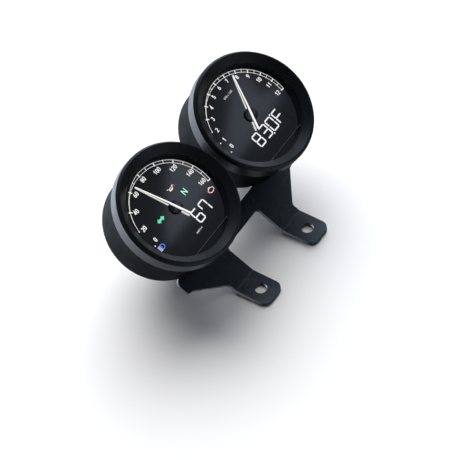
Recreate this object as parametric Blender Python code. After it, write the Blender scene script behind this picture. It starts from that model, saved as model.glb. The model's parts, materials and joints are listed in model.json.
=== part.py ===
"""Twin-gauge motorcycle instrument cluster: speedometer and tachometer in black cups on a folded bracket.

Blender 4.5, metres, +Z up, with the rider on the -Y side. The origin is under the middle of the cluster,
level with the undersides of the bracket's feet, where they sit on the top yoke.

Each gauge is modelled in its own dial frame: z = 0 is the printed face, +z points out of the glass at the
rider, +x is to the rider's right and +y is up the dial. The cluster's dial frame is the same frame, midway
between the two gauges, and the bracket is laid out in it.
"""

import math

import bmesh
import bpy
from mathutils import Vector

# Layout
TILT = math.radians(30)          # how far the dials lean back from level, towards the rider
SPACING = 0.0892                 # between the two gauge axes
LATHE_STEPS = 32                 # sides of the large round pieces
SMALL_STEPS = 12                 # sides of the small ones
ARC_STEPS = 3                    # points that round one corner
CLEAR = 0.0001                   # gap between pieces that rest on each other

# Bezel: a machined ring with a 45 degree cone down to the glass and a lip crimped under the flanges
BEZEL_R = 0.0430
BEZEL_BORE_R = 0.0412
BEZEL_TOP = 0.0097
SHOULDER_IN, SHOULDER_DOWN = 0.0015, 0.0029
CONE_OUTER_R = 0.0406
CONE_INNER_R = 0.0354
CONE_BOTTOM = 0.0046
LIP_UNDERSIDE = 0.0043
CRIMP_R = 0.0397
CRIMP_TOP = -0.0030
CRIMP_BOTTOM = -0.0036

# Glass and face
LENS_R = 0.0382
LENS_BOTTOM, LENS_TOP = 0.0029, 0.0041
FACE_R = 0.0357
FACE_THICK = 0.0012
FACE_CHORD_Y = -0.0300           # the face is cut straight below this line
FACE_HOLE_R = 0.0046
WINDOW_LEFT, WINDOW_RIGHT = -0.0207, 0.0180
WINDOW_BOTTOM, WINDOW_TOP = -0.0242, -0.0064
CARRIER_BOTTOM = -0.0038

# Needle and its geared motor
NEEDLE_TIP, NEEDLE_TAIL = 0.0300, -0.0110
NEEDLE_BOTTOM, NEEDLE_TOP = 0.0016, 0.0022
NEEDLE_TIP_WIDTH, NEEDLE_TAIL_WIDTH = 0.0006, 0.0014
NEEDLE_BEND, NEEDLE_DROP = 0.0050, 0.0013    # beyond the bend it slopes down, nearly to the face
HUB_R = 0.0048
SHAFT_R = 0.0010
AXLE_R = 0.00075
GEAR_MODULE = 0.00075
GEAR_TEETH, PINION_TEETH = 24, 8
PRESSURE_ANGLE = math.radians(25)
BACKLASH = 0.00016
ROTOR_Y = GEAR_MODULE * (GEAR_TEETH + PINION_TEETH) / 2
MOTOR_TOP, MOTOR_BOTTOM = -0.0040, -0.0119
MOTOR_WALL = 0.0012
BOARD_TOP, BOARD_BOTTOM = -0.0120, -0.0136
BOARD_R = 0.0340
POST_CIRCLE_R = 0.0300

# Inner housing and outer cup
FLANGE_R = 0.0409
HOUSING_R = 0.0370
HOUSING_BORE_R = 0.0346
HOUSING_BACK = -0.0380
CUP_R = 0.0393
CUP_WALL = 0.0020
CUP_FRONT = -0.0015
CUP_BACK = -0.0440
CUP_FILLET = 0.0100
STUD_X = 0.0170
STUD_R = 0.0025
STUD_END = -0.0598
CABLE_Y = 0.0140
CABLE_R = 0.0029
CABLE_BEND_R = 0.0120
CABLE_STRAIGHT_END = -0.0540
CABLE_DOWN_TO_Y = -0.0070
GROMMET_HOLE_R = 0.0050
BUTTON_X, BUTTON_Y = 0.0130, -0.0140
BUTTON_R = 0.0030
BUTTON_HOLE_R = 0.00315
BUTTON_END = -0.0466

# Bracket: 3 mm sheet behind the cups, folded once so that its feet lie level on the yoke
PLATE_FRONT, PLATE_BACK = -0.0475, -0.0505
PAD_HALF_LENGTH, PAD_HALF_HEIGHT = 0.0240, 0.0080
WEB_HALF_WIDTH = 0.0070
BAR_TOP, BAR_BOTTOM = -0.0335, -0.0460
BAR_HALF_LENGTH = 0.0640
LEG_INNER_X, LEG_OUTER_X = 0.0190, 0.0392
LEG_TAPER_TOP_X = 0.0600
LEG_TAPER_END_Y = -0.0630
FOLD_Y = -0.0680
FOLD_INNER_R = 0.0040
FOOT_LENGTH = 0.0240
FOOT_HOLE_R = 0.00425
PLATE_HOLE_R = 0.0050

FOLD_CENTRE_Z = PLATE_FRONT + FOLD_INNER_R
FOLD_MID_R = FOLD_CENTRE_Z - (PLATE_FRONT + PLATE_BACK) / 2
FOOT_END_Y = FOLD_Y - FOLD_MID_R * TILT - FOOT_LENGTH
FOOT_HOLE_Y = FOOT_END_Y + FOOT_LENGTH / 2

# Where each needle stands, clockwise from the top of its dial
SPEEDO_NEEDLE = math.radians(-16.2)
TACH_NEEDLE = math.radians(28.6)

FINISHES = {                     # colour, roughness, metallic
    "satin_black": ((0.012, 0.013, 0.015), 0.38, 0.6),
    "gloss_black": ((0.008, 0.009, 0.011), 0.20, 0.3),
    "sheet_black": ((0.010, 0.011, 0.013), 0.25, 0.4),
    "clear": ((0.90, 0.92, 0.95), 0.05, 0.0),
    "rubber": ((0.015, 0.015, 0.016), 0.80, 0.0),
    "face_black": ((0.012, 0.013, 0.015), 0.30, 0.0),
    "display": ((0.030, 0.033, 0.038), 0.12, 0.0),
    "needle_white": ((0.90, 0.90, 0.88), 0.40, 0.0),
    "moulded_black": ((0.020, 0.020, 0.022), 0.55, 0.0),
    "moulded_white": ((0.75, 0.74, 0.70), 0.50, 0.0),
    "board_green": ((0.02, 0.12, 0.05), 0.45, 0.0),
    "zinc": ((0.55, 0.56, 0.58), 0.35, 1.0),
}


def material(name):
    """The named finish as a Principled material, made once."""
    found = bpy.data.materials.get(name)
    if found:
        return found
    colour, roughness, metallic = FINISHES[name]
    made = bpy.data.materials.new(name)
    made.use_nodes = True
    shader = made.node_tree.nodes["Principled BSDF"]
    shader.inputs["Base Color"].default_value = (*colour, 1)
    shader.inputs["Roughness"].default_value = roughness
    shader.inputs["Metallic"].default_value = metallic
    return made


def place(name, data, finish, parent, location=(0, 0, 0), rotation=(0, 0, 0)):
    """Makes data into a named object with its finish, in its parent's frame."""
    obj = bpy.data.objects.new(name, data)
    bpy.context.scene.collection.objects.link(obj)
    obj.parent = parent
    obj.location = location
    obj.rotation_euler = rotation
    data.materials.clear()
    data.materials.append(material(finish))
    if obj.type == "MESH":
        data.shade_smooth()
        data.set_sharp_from_angle(angle=math.radians(30))
    return obj


def frame(name, x, tilt):
    """An empty that stands for a dial frame."""
    empty = bpy.data.objects.new(name, None)
    bpy.context.scene.collection.objects.link(empty)
    empty.location = (x, 0, 0)
    empty.rotation_euler = (tilt, 0, 0)
    return empty


# Outlines, as lists of (x, y) points


def circle(x, y, radius, steps=SMALL_STEPS):
    turn = 2 * math.pi / steps
    return [(x + radius * math.cos(i * turn), y + radius * math.sin(i * turn)) for i in range(steps)]


def arc(x, y, radius, start, end, steps):
    """Points from angle start to angle end, in degrees, with both ends."""
    angles = [math.radians(start + (end - start) * i / steps) for i in range(steps + 1)]
    return [(x + radius * math.cos(a), y + radius * math.sin(a)) for a in angles]


def rectangle(left, right, bottom, top):
    return [(left, bottom), (right, bottom), (right, top), (left, top)]


def rounded(corners):
    """An outline from (x, y, radius) corners, each rounded by its own radius."""
    points = []
    for i, (x, y, radius) in enumerate(corners):
        corner = Vector((x, y))
        to_before = (Vector(corners[i - 1][:2]) - corner).normalized()
        to_after = (Vector(corners[(i + 1) % len(corners)][:2]) - corner).normalized()
        half = to_before.angle(to_after) / 2
        centre = corner + (to_before + to_after).normalized() * radius / math.sin(half)
        start = (corner + to_before * radius / math.tan(half) - centre).normalized()
        end = (corner + to_after * radius / math.tan(half) - centre).normalized()
        turns = [start.slerp(end, step / ARC_STEPS) for step in range(ARC_STEPS + 1)]
        points += [tuple(centre + turn * radius) for turn in turns]
    return points


def gear(teeth, tooth_at):
    """An involute gear outline about the origin, with one tooth centred on the angle tooth_at."""
    pitch_r = teeth * GEAR_MODULE / 2
    base_r = pitch_r * math.cos(PRESSURE_ANGLE)
    tip_r = pitch_r + 0.8 * GEAR_MODULE
    root_r = pitch_r - 1.1 * GEAR_MODULE
    flank_start = max(base_r, root_r + 0.1 * GEAR_MODULE)

    def half_angle(radius):
        def involute(at):
            pressure = math.acos(min(1, base_r / at))
            return math.tan(pressure) - pressure
        at_pitch = (math.pi * GEAR_MODULE / 2 - BACKLASH) / (2 * pitch_r)
        return at_pitch + involute(pitch_r) - involute(radius)

    flank = [(root_r, half_angle(flank_start))]
    flank += [(r, half_angle(r)) for r in (flank_start, tip_r)]
    points = []
    for tooth in range(teeth):
        centre = tooth_at + 2 * math.pi * tooth / teeth
        one_side = [(r, centre - half) for r, half in flank]
        other_side = [(r, centre + half) for r, half in reversed(flank)]
        points += [(r * math.cos(a), r * math.sin(a)) for r, a in one_side + other_side]
    return points


# Shapes, as meshes


def closed_mesh(name, bm):
    bmesh.ops.recalc_face_normals(bm, faces=bm.faces)
    mesh = bpy.data.meshes.new(name)
    bm.to_mesh(mesh)
    bm.free()
    return mesh


def revolve(name, profile, steps=LATHE_STEPS):
    """Turns a closed (r, z) outline about +z. A point with r = 0 becomes one vertex on the axis."""
    bm = bmesh.new()
    rings = []
    for radius, height in profile:
        around = circle(0, 0, radius, steps) if radius else [(0, 0)]
        rings.append([bm.verts.new((x, y, height)) for x, y in around])
    for lower, upper in zip(rings, rings[1:] + rings[:1]):
        for i in range(steps):
            j = (i + 1) % steps
            ends = [ring[k % len(ring)] for ring, k in ((lower, i), (lower, j), (upper, j), (upper, i))]
            corners = list(dict.fromkeys(ends))
            if len(corners) > 2:
                bm.faces.new(corners)
    return closed_mesh(name, bm)


def plate(name, outer, holes, bottom, top):
    """A flat outline with holes, as a solid from z = bottom to z = top."""
    curve = bpy.data.curves.new(name, "CURVE")
    curve.dimensions = "2D"
    curve.fill_mode = "BOTH"
    curve.extrude = (top - bottom) / 2
    for outline in [outer, *holes]:
        spline = curve.splines.new("POLY")
        spline.points.add(len(outline) - 1)
        for point, (x, y) in zip(spline.points, outline):
            point.co = (x, y, 0, 1)
        spline.use_cyclic_u = True
    helper = bpy.data.objects.new(name, curve)
    bm = bmesh.new()
    bm.from_mesh(helper.to_mesh())
    bpy.data.objects.remove(helper)
    bmesh.ops.remove_doubles(bm, verts=bm.verts, dist=1e-7)
    bmesh.ops.translate(bm, verts=bm.verts, vec=(0, 0, (top + bottom) / 2))
    return closed_mesh(name, bm)


def combine(base, operation, others):
    """The base mesh after each of the other meshes is joined to it (UNION) or cut from it (DIFFERENCE)."""
    target = bpy.data.objects.new("target", base)
    bpy.context.scene.collection.objects.link(target)
    helpers = [bpy.data.objects.new("helper", other) for other in others]
    for helper in helpers:
        bpy.context.scene.collection.objects.link(helper)
        step = target.modifiers.new("combine", "BOOLEAN")
        step.operation = operation
        step.object = helper
    graph = bpy.context.evaluated_depsgraph_get()
    result = bpy.data.meshes.new_from_object(target.evaluated_get(graph))
    for obj in (target, *helpers):
        bpy.data.objects.remove(obj)
    return result


def rod(radius, bottom, top, x=0, y=0):
    return plate("rod", circle(x, y, radius), [], bottom, top)


# The pieces of one gauge


def bezel_mesh():
    return revolve("bezel", [
        (CONE_INNER_R, LIP_UNDERSIDE), (CONE_INNER_R, CONE_BOTTOM),
        (CONE_OUTER_R - 0.0003, BEZEL_TOP - 0.0002), (CONE_OUTER_R, BEZEL_TOP),
        (BEZEL_R - SHOULDER_IN, BEZEL_TOP), (BEZEL_R, BEZEL_TOP - SHOULDER_DOWN),
        (BEZEL_R, CRIMP_BOTTOM), (CRIMP_R, CRIMP_BOTTOM), (CRIMP_R, CRIMP_TOP),
        (BEZEL_BORE_R, CRIMP_TOP), (BEZEL_BORE_R, LIP_UNDERSIDE)])


def square_ring(name, inner, outer, bottom, top):
    return revolve(name, [(inner, bottom), (outer, bottom), (outer, top), (inner, top)])


def disc(name, radius, bottom, top):
    return revolve(name, [(0, bottom), (radius, bottom), (radius, top), (0, top)])


def face_mesh():
    """The printed face: a disc cut straight across below the display, with the display window in it."""
    chord = math.degrees(math.asin(FACE_CHORD_Y / FACE_R))
    outline = arc(0, 0, FACE_R, chord, 180 - chord, LATHE_STEPS)
    window = rectangle(WINDOW_LEFT, WINDOW_RIGHT, WINDOW_BOTTOM, WINDOW_TOP)
    return plate("face", outline, [circle(0, 0, FACE_HOLE_R), window], -FACE_THICK, 0)


def display_mesh():
    left, right = WINDOW_LEFT + CLEAR, WINDOW_RIGHT - CLEAR
    bottom, top = WINDOW_BOTTOM + CLEAR, WINDOW_TOP - CLEAR
    return plate("display", rectangle(left, right, bottom, top), [], -FACE_THICK, -0.00015)


def post_places():
    return [(POST_CIRCLE_R * math.cos(a), POST_CIRCLE_R * math.sin(a))
            for a in (math.radians(d) for d in (90, 210, 330))]


def carrier_mesh():
    """The disc behind the face, with three posts that reach down to the circuit board."""
    base = plate("carrier", circle(0, 0, FACE_R - CLEAR, LATHE_STEPS), [circle(0, 0, 0.0022)],
                 CARRIER_BOTTOM, -FACE_THICK - CLEAR)
    posts = [rod(0.0024, BOARD_TOP + CLEAR, CARRIER_BOTTOM + 0.0005, x, y) for x, y in post_places()]
    bores = [rod(0.0012, BOARD_TOP - 0.0010, -0.0064, x, y) for x, y in post_places()]
    return combine(combine(base, "UNION", posts), "DIFFERENCE", bores)


def screw_mesh():
    """A pan-head screw, with the underside of its head at z = 0 and its thread along +z."""
    return revolve("screw", [(0, -0.0015), (0.0016, -0.0015), (0.0023, -0.0007), (0.0023, 0),
                             (0.00105, 0), (0.00105, 0.0064), (0, 0.0066)], 8)


def needle_mesh():
    """A tapered flat bar that is level over its hub and then slopes down towards the face."""
    half_tail, half_tip = NEEDLE_TAIL_WIDTH / 2, NEEDLE_TIP_WIDTH / 2
    point = NEEDLE_TIP - 0.0008
    outline = [(-half_tail, NEEDLE_TAIL), (half_tail, NEEDLE_TAIL), (half_tip, point),
               (0, NEEDLE_TIP), (-half_tip, point)]
    bm = bmesh.new()
    bm.from_mesh(plate("needle", outline, [], NEEDLE_BOTTOM, NEEDLE_TOP))
    everything = [*bm.verts, *bm.edges, *bm.faces]
    bend = (0, NEEDLE_BEND, 0)
    bmesh.ops.bisect_plane(bm, geom=everything, dist=1e-7, plane_co=bend, plane_no=(0, 1, 0))
    bmesh.ops.triangulate(bm, faces=bm.faces)
    slope = NEEDLE_DROP / (NEEDLE_TIP - NEEDLE_BEND)
    for vertex in bm.verts:
        vertex.co.z -= slope * max(0, vertex.co.y - NEEDLE_BEND)
    return closed_mesh("needle", bm)


def hub_mesh():
    """The black hub under the needle, with a blind socket for the shaft's end."""
    return revolve("hub", [(0, 0.0015), (HUB_R - 0.0003, 0.0015), (HUB_R, 0.0012), (HUB_R, 0.0005),
                           (0.00115, 0.0005), (0.00115, 0.0012), (0, 0.0012)], SMALL_STEPS)


def needle_gear_mesh():
    """The output wheel and the shaft that carries the needle, in one moulding."""
    wheel = plate("wheel", gear(GEAR_TEETH, math.pi / 2), [], -0.0095, -0.0075)
    shaft = rod(SHAFT_R, -0.0129, 0.0011)
    boss = rod(0.0020, -0.0080, -0.0056)
    return combine(wheel, "UNION", [boss, shaft])


def rotor_mesh():
    """The motor's magnet, pinion and axle, with one of the pinion's tooth gaps facing the output wheel."""
    gap_at = -math.pi / 2
    pinion = plate("pinion", gear(PINION_TEETH, gap_at + math.pi / PINION_TEETH), [], -0.0102, -0.0073)
    magnet = rod(0.0046, -0.0114, -0.0099)
    axle = rod(AXLE_R, -0.0129, -0.0045)
    return combine(pinion, "UNION", [magnet, axle])


def motor_case_mesh():
    """A moulded cover, open towards the board, with a bore for the shaft and one for the rotor's axle."""
    half_width, low, high, corner = 0.0115, -0.0115, ROTOR_Y + 0.0065, 0.0030

    def outline(inset):
        x, y0, y1, r = half_width - inset, low + inset, high - inset, corner - inset
        return rounded([(-x, y0, r), (x, y0, r), (x, y1, r), (-x, y1, r)])

    shell = plate("case", outline(0), [circle(0, 0, 0.00115), circle(0, ROTOR_Y, 0.0009)],
                  MOTOR_BOTTOM, MOTOR_TOP)
    hollow = plate("hollow", outline(MOTOR_WALL), [], MOTOR_BOTTOM - 0.0010, MOTOR_TOP - MOTOR_WALL)
    return combine(shell, "DIFFERENCE", [hollow])


def board_mesh():
    """The circuit board, with its driver chips and cable socket on the back."""
    bores = [circle(x, y, 0.0013, 8) for x, y in post_places()]
    bores += [circle(0, 0, 0.0012), circle(0, ROTOR_Y, 0.0009)]
    board = plate("board", circle(0, 0, BOARD_R, LATHE_STEPS), bores, BOARD_BOTTOM, BOARD_TOP)
    inside = BOARD_BOTTOM + 0.0004
    chips = [plate("chip", rectangle(*box), [], BOARD_BOTTOM - deep, inside)
             for box, deep in (((-0.020, -0.008, -0.010, 0.002), 0.0016),
                               ((0.009, 0.017, -0.008, -0.002), 0.0014),
                               ((-0.009, 0.009, 0.0185, 0.0255), 0.0075))]
    return combine(board, "UNION", chips)


def housing_mesh():
    """The moulded can that carries the face and the board, with a flange under the bezel."""
    profile = [(FACE_R + 0.0002, 0), (FLANGE_R, 0), (FLANGE_R, -0.0014), (HOUSING_R, -0.0014),
               (HOUSING_R, -0.0335), (0.0335, HOUSING_BACK), (0, HOUSING_BACK),
               (0, HOUSING_BACK + 0.0016), (0.0328, HOUSING_BACK + 0.0016),
               (HOUSING_BORE_R, -0.0340), (HOUSING_BORE_R, -0.0039), (FACE_R + 0.0002, -0.0039)]
    cable_hole = rod(0.0045, HOUSING_BACK - 0.0010, HOUSING_BACK + 0.0030, 0, CABLE_Y)
    return combine(revolve("housing", profile), "DIFFERENCE", [cable_hole])


def cup_mesh():
    """The outer cup: straight sides, a wide fillet, a flat back with two studs, and its openings."""
    fillet_r, fillet_z = CUP_R - CUP_FILLET, CUP_BACK + CUP_FILLET
    inner_fillet = CUP_FILLET - CUP_WALL
    profile = [(CUP_R - CUP_WALL, CUP_FRONT), (FLANGE_R, CUP_FRONT), (FLANGE_R, CUP_FRONT - 0.0014),
               (CUP_R, CUP_FRONT - 0.0014), *arc(fillet_r, fillet_z, CUP_FILLET, 0, -90, 5),
               (0, CUP_BACK), (0, CUP_BACK + CUP_WALL),
               *arc(fillet_r, fillet_z, inner_fillet, -90, 0, 3)]
    studs = [rod(STUD_R, STUD_END, CUP_BACK + 0.0010, x, 0) for x in (-STUD_X, STUD_X)]
    through = (CUP_BACK - 0.0010, CUP_BACK + CUP_WALL + 0.0010)
    openings = [rod(GROMMET_HOLE_R, *through, 0, CABLE_Y)]
    openings += [rod(BUTTON_HOLE_R, *through, x, BUTTON_Y) for x in (-BUTTON_X, BUTTON_X)]
    return combine(combine(revolve("cup", profile), "UNION", studs), "DIFFERENCE", openings)


def button_mesh():
    """A push button with a retaining flange inside the cup. It is pressed towards +z."""
    neck_end = CUP_BACK + CUP_WALL + CLEAR
    return revolve("button", [
        (0, BUTTON_END), (BUTTON_R - 0.0008, BUTTON_END), (BUTTON_R, BUTTON_END + 0.0008),
        (BUTTON_R, neck_end), (0.0042, neck_end), (0.0042, neck_end + 0.0010), (0.0020, neck_end + 0.0010),
        (0.0020, neck_end + 0.0023), (0, neck_end + 0.0023)], SMALL_STEPS)


def cable_grommet_mesh():
    outside, inside = CUP_BACK - CLEAR, CUP_BACK + CUP_WALL + CLEAR
    return revolve("cable_grommet", [
        (0.0031, outside - 0.0018), (0.0056, outside - 0.0018),
        (0.0070, outside - 0.0008), (0.0070, outside),
        (GROMMET_HOLE_R - 0.00015, outside), (GROMMET_HOLE_R - 0.00015, inside),
        (0.0061, inside), (0.0061, inside + 0.0012), (0.0031, inside + 0.0012)], SMALL_STEPS)


def mount_grommet_mesh():
    """A rubber isolator: its groove holds the bracket's plate, and the cup's stud runs through it."""
    wide, neck, bore = 0.0075, PLATE_HOLE_R - 0.00015, STUD_R + 0.0004
    groove_front, groove_back = PLATE_FRONT + CLEAR, PLATE_BACK - CLEAR
    front, back = CUP_BACK - CLEAR, PLATE_BACK - 0.0029
    return revolve("mount_grommet", [
        (bore, front), (wide, front), (wide, groove_front), (neck, groove_front), (neck, groove_back),
        (wide, groove_back), (wide, back + 0.0006), (wide - 0.0006, back), (bore, back)], SMALL_STEPS)


def nut_mesh():
    """A flanged hexagon nut, screwed down the stud onto the grommet's back."""
    seat = PLATE_BACK - 0.0029 - CLEAR
    hexagon = plate("hexagon", circle(0, 0, 0.0046, 6), [], seat - 0.0052, seat - 0.0008)
    flange = rod(0.0065, seat - 0.0012, seat)
    bore = rod(STUD_R + CLEAR, seat - 0.0062, seat + 0.0010)
    return combine(combine(hexagon, "UNION", [flange]), "DIFFERENCE", [bore])


def cable_curve():
    """The loom: straight out of the cup's back, then turned down behind it."""
    bend_y, end_z = CABLE_Y - CABLE_BEND_R, CABLE_STRAIGHT_END
    bend = [(bend_y + CABLE_BEND_R * math.cos(a), end_z - CABLE_BEND_R * math.sin(a))
            for a in (math.radians(15 * i) for i in range(7))]
    path = [(CABLE_Y, HOUSING_BACK - 0.0006), *bend, (CABLE_DOWN_TO_Y, end_z - CABLE_BEND_R)]
    curve = bpy.data.curves.new("cable", "CURVE")
    curve.dimensions = "3D"
    curve.bevel_depth = CABLE_R
    curve.bevel_resolution = 2
    curve.use_fill_caps = True
    spline = curve.splines.new("POLY")
    spline.points.add(len(path) - 1)
    for point, (y, z) in zip(spline.points, path):
        point.co = (0, y, z, 1)
    return curve


def connector_mesh():
    """The loom's plug, lying along -y from the cable's end, with a latch on its back."""
    body = rounded([(-0.0075, -0.0050, 0.0012), (0.0075, -0.0050, 0.0012),
                    (0.0075, 0.0050, 0.0012), (-0.0075, 0.0050, 0.0012)])
    block = plate("plug", body, [], 0, 0.0200)
    latch = plate("latch", rectangle(-0.0025, 0.0025, 0.0045, 0.0066), [], 0.0060, 0.0150)
    return combine(block, "UNION", [latch])


def gauge(prefix, axis, needle_at, shared):
    """Places every piece of one gauge in the dial frame of its axis. Both gauges use the same meshes."""

    def add(name, finish, location=(0, 0, 0), rotation=(0, 0, 0), of=None):
        return place(f"{prefix}_{name}", shared[of or name], finish, axis, location, rotation)

    add("bezel", "satin_black")
    add("lens", "clear")
    add("lens_gasket", "rubber")
    add("spacer_ring", "gloss_black")
    add("face", "face_black")
    add("display", "display")
    add("face_carrier", "moulded_black")
    add("needle", "needle_white", rotation=(0, 0, -needle_at))
    add("needle_hub", "moulded_black", rotation=(0, 0, -needle_at))
    add("needle_gear", "moulded_white")
    add("motor_case", "moulded_black")
    add("motor_rotor", "moulded_white", location=(0, ROTOR_Y, 0))
    add("circuit_board", "board_green")
    add("inner_housing", "moulded_black")
    add("cup", "gloss_black")
    add("cable_grommet", "rubber", location=(0, CABLE_Y, 0))
    add("cable", "rubber")
    plug_z = CABLE_STRAIGHT_END - CABLE_BEND_R
    add("connector", "moulded_black", location=(0, CABLE_DOWN_TO_Y - CLEAR, plug_z),
        rotation=(math.pi / 2, 0, 0))
    for number, (x, y) in enumerate(post_places(), 1):
        add(f"board_screw_{number}", "zinc", location=(x, y, BOARD_BOTTOM - CLEAR), of="board_screw")
    for side, sign in (("left", -1), ("right", 1)):
        add(f"mount_grommet_{side}", "rubber", location=(sign * STUD_X, 0, 0), of="mount_grommet")
        add(f"mount_nut_{side}", "zinc", location=(sign * STUD_X, 0, 0), of="mount_nut")
    for name, sign in (("mode_button", -1), ("set_button", 1)):
        add(name, "rubber", location=(sign * BUTTON_X, BUTTON_Y, 0), of="button")


# The bracket


def bracket_outline():
    """The bracket's flat pattern: a bar, a web and a pad behind each cup, and two legs with feet."""
    web_inner, web_outer = SPACING / 2 - WEB_HALF_WIDTH, SPACING / 2 + WEB_HALF_WIDTH
    pad_inner, pad_outer = SPACING / 2 - PAD_HALF_LENGTH, SPACING / 2 + PAD_HALF_LENGTH
    right = [
        (web_inner, BAR_TOP, 0.005), (web_inner, -PAD_HALF_HEIGHT, 0.004),
        (pad_inner, -PAD_HALF_HEIGHT, 0.007), (pad_inner, PAD_HALF_HEIGHT, 0.007),
        (pad_outer, PAD_HALF_HEIGHT, 0.007), (pad_outer, -PAD_HALF_HEIGHT, 0.007),
        (web_outer, -PAD_HALF_HEIGHT, 0.004), (web_outer, BAR_TOP, 0.005),
        (BAR_HALF_LENGTH, BAR_TOP, 0.005), (BAR_HALF_LENGTH, BAR_BOTTOM, 0.003),
        (LEG_TAPER_TOP_X, BAR_BOTTOM, 0.001), (LEG_OUTER_X, LEG_TAPER_END_Y, 0.004),
        (LEG_OUTER_X, FOOT_END_Y, 0.006), (LEG_INNER_X, FOOT_END_Y, 0.006),
        (LEG_INNER_X, BAR_BOTTOM, 0.003)]
    left = [(-x, y, r) for x, y, r in reversed(right)]
    return rounded(right + left)


def folded(y, z):
    """Where a point of the flat pattern goes when the feet are folded up by the tilt."""
    beyond = FOLD_Y - y
    if beyond <= 0:
        return y, z
    turn = min(beyond / FOLD_MID_R, TILT)
    straight = beyond - turn * FOLD_MID_R
    radius = FOLD_CENTRE_Z - z
    return (FOLD_Y - radius * math.sin(turn) - straight * math.cos(turn),
            FOLD_CENTRE_Z - radius * math.cos(turn) + straight * math.sin(turn))


def bracket_mesh():
    stud_places = [side * SPACING / 2 + stud for side in (-1, 1) for stud in (-STUD_X, STUD_X)]
    foot_x = (LEG_INNER_X + LEG_OUTER_X) / 2
    holes = [circle(x, 0, PLATE_HOLE_R) for x in stud_places]
    holes += [circle(x, FOOT_HOLE_Y, FOOT_HOLE_R) for x in (-foot_x, foot_x)]
    flat = plate("bracket", bracket_outline(), holes, PLATE_BACK, PLATE_FRONT)
    bm = bmesh.new()
    bm.from_mesh(flat)
    fold_steps = 3
    for step in range(fold_steps + 1):
        at = FOLD_Y - FOLD_MID_R * TILT * step / fold_steps
        everything = [*bm.verts, *bm.edges, *bm.faces]
        bmesh.ops.bisect_plane(bm, geom=everything, dist=1e-7, plane_co=(0, at, 0), plane_no=(0, 1, 0))
    bmesh.ops.triangulate(bm, faces=bm.faces)
    for vertex in bm.verts:
        vertex.co.y, vertex.co.z = folded(vertex.co.y, vertex.co.z)
    return closed_mesh("bracket", bm)


def stand_at_origin(frames):
    """Moves the frames so that the feet stand at z = 0, under the middle of the whole outline."""
    graph = bpy.context.evaluated_depsgraph_get()
    solids = [obj.evaluated_get(graph) for obj in bpy.data.objects if obj.data]
    points = [solid.matrix_world @ vertex.co for solid in solids for vertex in solid.to_mesh().vertices]
    low = Vector([min(point[i] for point in points) for i in range(3)])
    high = Vector([max(point[i] for point in points) for i in range(3)])
    for empty in frames:
        empty.location -= Vector(((low.x + high.x) / 2, (low.y + high.y) / 2, low.z))


def build():
    for obj in list(bpy.data.objects):
        bpy.data.objects.remove(obj, do_unlink=True)
    shared = {
        "bezel": bezel_mesh(),
        "lens": disc("lens", LENS_R, LENS_BOTTOM, LENS_TOP),
        "lens_gasket": square_ring("lens_gasket", LENS_R + 0.00015, FLANGE_R, CLEAR, LIP_UNDERSIDE - CLEAR),
        "spacer_ring": square_ring("spacer_ring", CONE_INNER_R, LENS_R, CLEAR, LENS_BOTTOM - CLEAR),
        "face": face_mesh(),
        "display": display_mesh(),
        "face_carrier": carrier_mesh(),
        "needle": needle_mesh(),
        "needle_hub": hub_mesh(),
        "needle_gear": needle_gear_mesh(),
        "motor_case": motor_case_mesh(),
        "motor_rotor": rotor_mesh(),
        "circuit_board": board_mesh(),
        "board_screw": screw_mesh(),
        "inner_housing": housing_mesh(),
        "cup": cup_mesh(),
        "button": button_mesh(),
        "cable_grommet": cable_grommet_mesh(),
        "mount_grommet": mount_grommet_mesh(),
        "mount_nut": nut_mesh(),
        "cable": cable_curve(),
        "connector": connector_mesh(),
    }
    middle = frame("cluster_frame", 0, TILT)
    speedo_axis = frame("speedo_axis", -SPACING / 2, TILT)
    tach_axis = frame("tach_axis", SPACING / 2, TILT)
    place("bracket", bracket_mesh(), "sheet_black", middle)
    gauge("speedo", speedo_axis, SPEEDO_NEEDLE, shared)
    gauge("tach", tach_axis, TACH_NEEDLE, shared)
    stand_at_origin((middle, speedo_axis, tach_axis))


build()
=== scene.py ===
"""Looks for the twin-gauge motorcycle instrument cluster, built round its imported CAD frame.

Shapes are written in millimetres in a dial's own frame: z = 0 is the printed face, +z points out of the
glass, +x is to the rider's right and +y is up the dial. Angles on a dial run clockwise from its top.
"""

import json
import math

import bmesh
import bpy
from mathutils import Matrix, Vector

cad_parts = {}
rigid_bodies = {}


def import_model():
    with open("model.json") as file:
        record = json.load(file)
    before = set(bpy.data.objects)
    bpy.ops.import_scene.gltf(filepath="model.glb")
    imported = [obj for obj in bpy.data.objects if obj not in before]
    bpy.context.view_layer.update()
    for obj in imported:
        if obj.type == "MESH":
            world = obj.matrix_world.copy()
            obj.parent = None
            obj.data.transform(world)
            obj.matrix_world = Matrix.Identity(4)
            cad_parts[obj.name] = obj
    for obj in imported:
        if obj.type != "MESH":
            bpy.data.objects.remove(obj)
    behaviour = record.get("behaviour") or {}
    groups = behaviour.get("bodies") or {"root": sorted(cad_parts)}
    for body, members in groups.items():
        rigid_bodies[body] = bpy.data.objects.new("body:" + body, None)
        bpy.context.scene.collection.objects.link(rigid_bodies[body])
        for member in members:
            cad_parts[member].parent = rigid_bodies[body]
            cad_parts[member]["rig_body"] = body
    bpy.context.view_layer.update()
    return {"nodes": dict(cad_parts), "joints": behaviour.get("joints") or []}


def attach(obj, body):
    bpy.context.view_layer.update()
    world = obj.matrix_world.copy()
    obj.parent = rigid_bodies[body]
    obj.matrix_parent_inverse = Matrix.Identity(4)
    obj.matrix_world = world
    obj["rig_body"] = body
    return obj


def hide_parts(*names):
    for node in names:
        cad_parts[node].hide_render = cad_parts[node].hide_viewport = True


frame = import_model()

MM = 0.001
GAUGES = ("speedo", "tach")

ROUND_STEPS = 160  # sides of the large turned pieces
SMALL_ROUND_STEPS = 48
CORNER_STEPS = 5  # segments that round one corner
SHARP_ANGLE = math.radians(32)
WELD = 1e-4  # points closer than this are one point

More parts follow.
